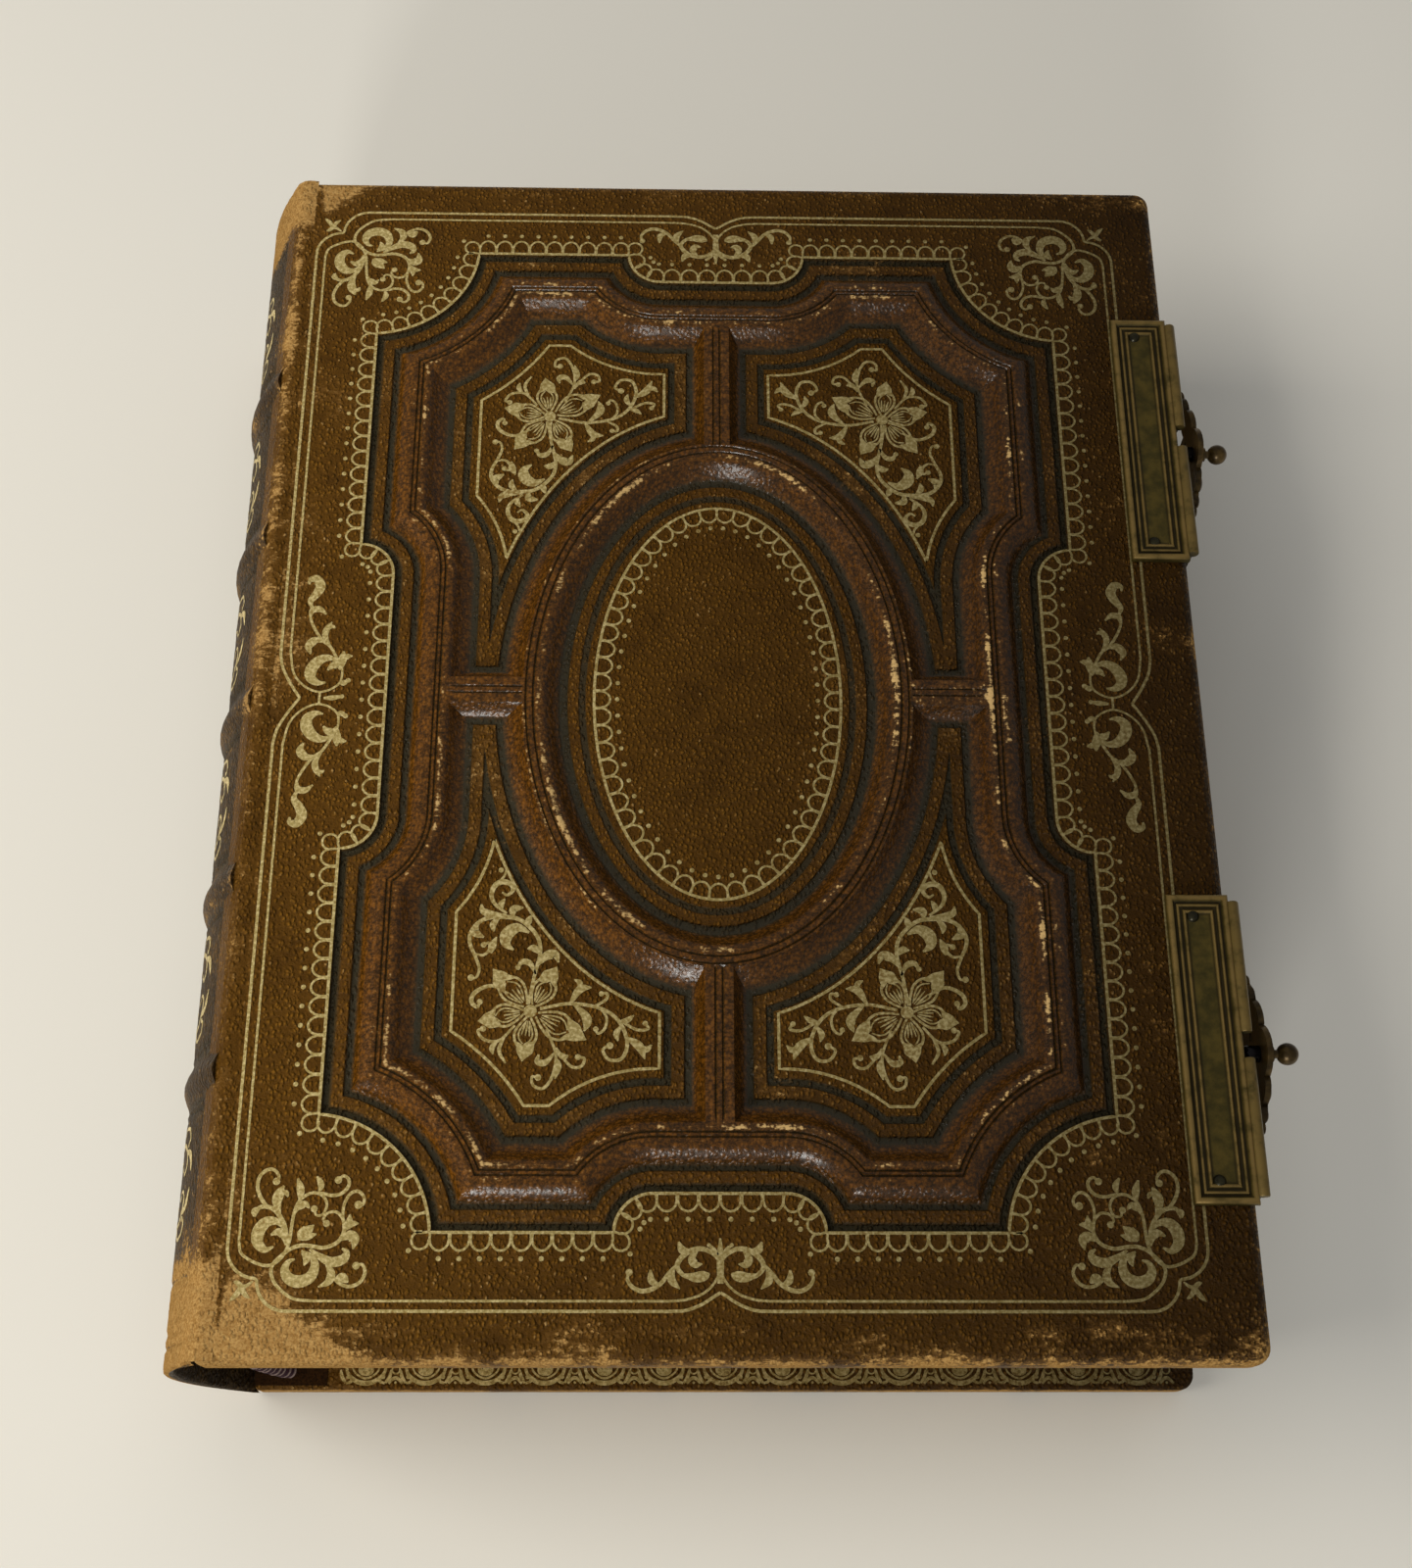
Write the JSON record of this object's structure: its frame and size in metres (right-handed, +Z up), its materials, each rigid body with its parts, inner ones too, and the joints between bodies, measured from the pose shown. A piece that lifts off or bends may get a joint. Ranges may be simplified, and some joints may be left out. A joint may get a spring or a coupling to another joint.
{
  "type": "antique photo album",
  "caption": "Leather-bound photograph album with a deeply moulded front board, raised bands on a hollow spine, card leaves and brass clasps hinged on the back board.",
  "frame": {"origin": "middle of the back board's outer face, on which the album lies", "axes": "+X towards the fore edge and its clasps, +Y towards the head, +Z up through the leaves to the front board"},
  "size_m": [0.2326, 0.276, 0.07],
  "materials": {
    "moulded_leather": "moulded goatskin, stained brown and tooled in gold",
    "back_leather": "grained goatskin with plain pressed lines",
    "spine_leather": "grained goatskin over a card hollow, rubbed",
    "lining_paper": "glazed white paper",
    "joint_cloth": "dark brown book cloth",
    "gilt_card": "card leaves with gilt edges",
    "woven_silk": "woven silk band, purple and white",
    "plate_brass": "pressed brass, aged olive",
    "pin_brass": "turned brass",
    "cast_brass": "cast brass, browned",
    "dark_steel": "dark polished steel"
  },
  "bodies": {
    "book_block": {"page_block": "gilt_card", "spine_leather": "spine_leather", "head_band": "woven_silk", "tail_band": "woven_silk"},
    "front_cover": {"front_board": "moulded_leather", "front_pastedown": "lining_paper", "front_inner_joint": "joint_cloth", "catch_plate_head": "plate_brass", "catch_plate_tail": "plate_brass", "catch_plate_pins": "pin_brass"},
    "back_cover": {"back_board": "back_leather", "back_pastedown": "lining_paper", "back_inner_joint": "joint_cloth", "base_plate_head": "plate_brass", "base_plate_tail": "plate_brass", "base_plate_pins": "pin_brass", "hinge_pin_head": "pin_brass", "hinge_pin_tail": "pin_brass"},
    "head_strap": {"clasp_strap_head": "cast_brass", "pull_knob_head": "cast_brass", "catch_stud_head": "dark_steel"},
    "tail_strap": {"clasp_strap_tail": "cast_brass", "pull_knob_tail": "cast_brass", "catch_stud_tail": "dark_steel"}
  },
  "joints": [
    {"name": "front_cover_hinge", "type": "hinge", "parent": "book_block", "child": "front_cover", "pos_m": [-0.103, 0, 0.0678], "axis": [0, -1, 0], "range_deg": [0, 180]},
    {"name": "back_cover_hinge", "type": "hinge", "parent": "book_block", "child": "back_cover", "pos_m": [-0.103, 0, 0], "axis": [0, 1, 0], "range_deg": [0, 180]},
    {"name": "head_clasp_hinge", "type": "hinge", "parent": "back_cover", "child": "head_strap", "pos_m": [0.1061, 0.067, 0.0032], "axis": [0, 1, 0], "range_deg": [0, 135]},
    {"name": "tail_clasp_hinge", "type": "hinge", "parent": "back_cover", "child": "tail_strap", "pos_m": [0.1061, -0.076, 0.0032], "axis": [0, 1, 0], "range_deg": [0, 135]}
  ]
}
